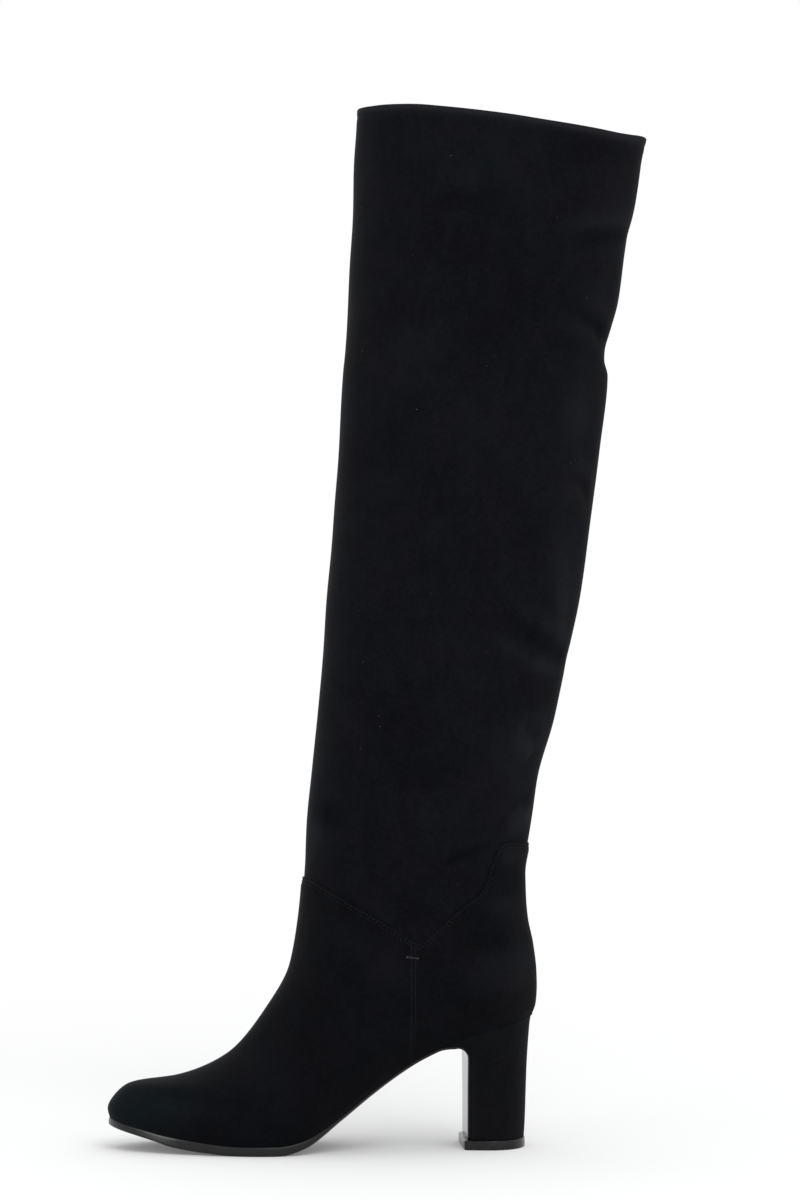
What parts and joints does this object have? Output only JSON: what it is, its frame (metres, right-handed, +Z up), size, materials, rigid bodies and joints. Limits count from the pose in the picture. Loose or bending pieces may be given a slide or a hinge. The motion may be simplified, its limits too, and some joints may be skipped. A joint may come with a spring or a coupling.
{
  "type": "tall boot",
  "caption": "Over-the-knee pull-on boot in black suede: lasted foot with V-shaped top line, wide leg shaft, leather sole and block heel.",
  "frame": {"origin": "on the floor, under the middle of the boot's overall box", "axes": "+Z up, toe towards -X, outer side of this left boot towards -Y"},
  "size_m": [0.297, 0.102, 0.5736],
  "materials": {
    "upper_suede": "napped black suede",
    "shaft_suede": "napped black suede, smooth dark lining inside",
    "sole_leather": "polished black leather, dark grey edge",
    "heel_suede": "black suede cover over a hard core",
    "heel_rubber": "matt dark grey rubber",
    "insole_leather": "smooth dark leather"
  },
  "bodies": {
    "root": {"upper": "upper_suede", "shaft": "shaft_suede", "outsole": "sole_leather", "heel": "heel_suede", "top_piece": "heel_rubber", "insole": "insole_leather"}
  },
  "joints": []
}
